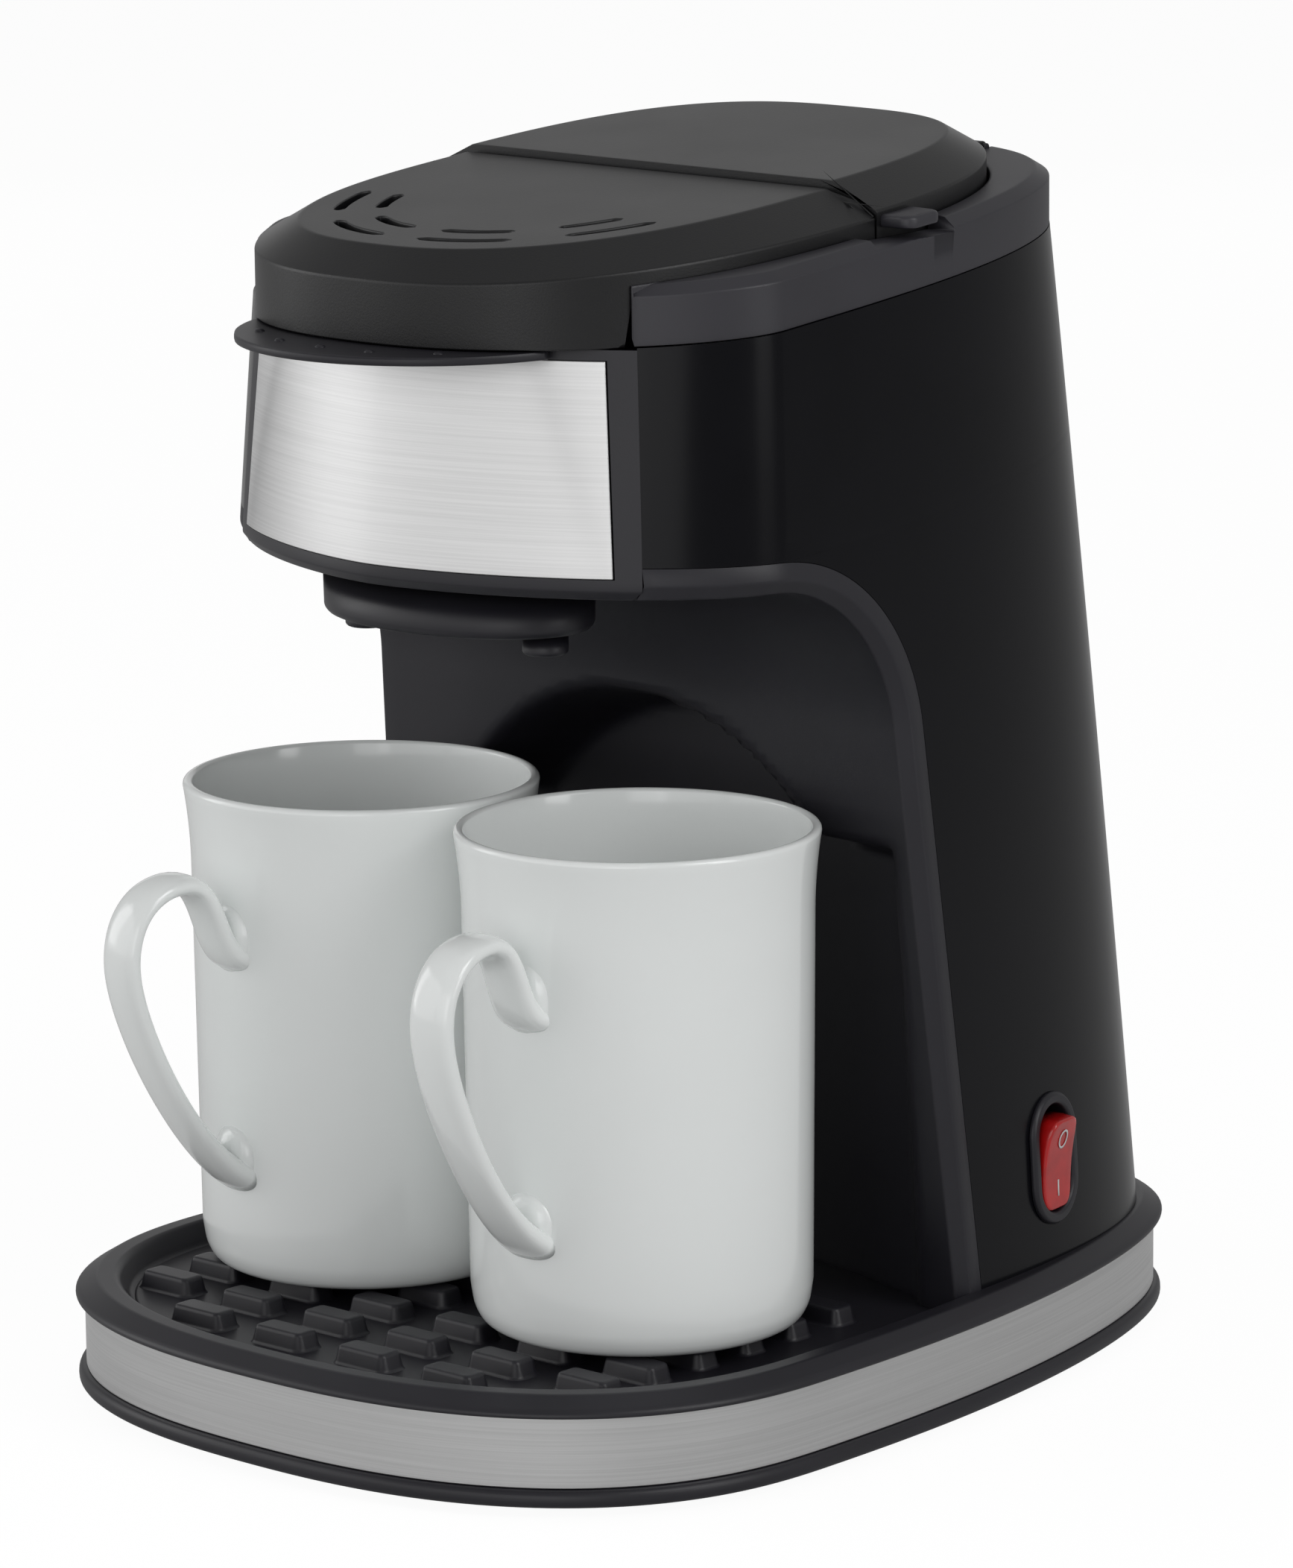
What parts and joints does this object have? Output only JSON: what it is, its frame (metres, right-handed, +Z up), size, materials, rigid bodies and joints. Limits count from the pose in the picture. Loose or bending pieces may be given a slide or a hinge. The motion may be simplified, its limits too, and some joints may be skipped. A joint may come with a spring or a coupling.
{
  "type": "drip coffee maker",
  "caption": "Compact drip coffee maker with a sloping two-part lid and a bay under the filter head for two mugs, which stand on a bumped deck.",
  "frame": {"origin": "ground level under the middle of the base", "axes": "+X to the right, -Y to the front where the mugs stand, +Z up"},
  "size_m": [0.1904, 0.2504, 0.271],
  "materials": {
    "satin_black": "satin moulded black",
    "gloss_black": "gloss black",
    "liner_black": "fine matte black",
    "lid_black": "fine textured black",
    "rubber": "matte",
    "steel": "brushed along its length",
    "zinc": "zinc plated",
    "aluminium": "as cast",
    "mesh": "fine woven mesh",
    "tank": "translucent grey",
    "silicone": "milky",
    "red_rocker": "red, lit from inside",
    "brass": "tin plated brass",
    "nylon": "natural nylon",
    "porcelain": "white glaze"
  },
  "bodies": {
    "machine": {"base_pan": "satin_black", "rubber_feet": "rubber", "base_screws": "zinc", "steel_band": "steel", "base_deck": "satin_black", "bump_mat": "satin_black", "body_shell": "gloss_black", "column_liner": "liner_black", "head_frame": "satin_black", "steel_panel": "steel", "collar": "satin_black", "front_lid_pins": "zinc", "tank_lid_pins": "zinc", "filter_well": "satin_black", "filter_holder": "satin_black", "mesh_filter": "mesh", "filter_handle": "satin_black", "outlet_housing": "satin_black", "spouts": "satin_black", "water_tank": "tank", "check_valve": "nylon", "cold_hose": "silicone", "heater_body": "aluminium", "heater_tube": "steel", "heater_bracket": "zinc", "thermostat": "nylon", "thermal_fuses": "nylon", "riser_tube": "silicone", "shower_head": "satin_black", "hose_clamps": "zinc", "switch_bezel": "satin_black", "switch_body": "satin_black", "switch_terminals": "brass", "switch_wires": "satin_black", "terminal_block": "nylon", "cord_gland": "satin_black"},
    "front_lid": {"front_lid": "lid_black", "grip_lip": "satin_black"},
    "tank_lid": {"tank_lid": "lid_black"},
    "rocker": {"rocker": "red_rocker"},
    "mug_left": {"mug_left": "porcelain"},
    "mug_right": {"mug_right": "porcelain"}
  },
  "joints": [
    {"name": "front_lid_hinge", "type": "hinge", "parent": "machine", "child": "front_lid", "pos_m": [0, 0.0033, 0.26106], "axis": [-1, 0, 0], "range_deg": [0, 88]},
    {"name": "tank_lid_hinge", "type": "hinge", "parent": "machine", "child": "tank_lid", "pos_m": [0, 0.0873, 0.2626], "axis": [-1, 0, 0], "range_deg": [0, 95]},
    {"name": "rocker_tilt", "type": "hinge", "parent": "machine", "child": "rocker", "pos_m": [0.07428, 0.04615, 0.04801], "axis": [-0.1702, 0.9854, 0], "range_deg": [-18, 0]},
    {"name": "mug_left_slide", "type": "slide", "parent": "machine", "child": "mug_left", "axis": [0, -0.9659, 0.2588], "range_m": [0, 0.14]},
    {"name": "mug_right_slide", "type": "slide", "parent": "machine", "child": "mug_right", "axis": [0, -0.9659, 0.2588], "range_m": [0, 0.14]}
  ]
}
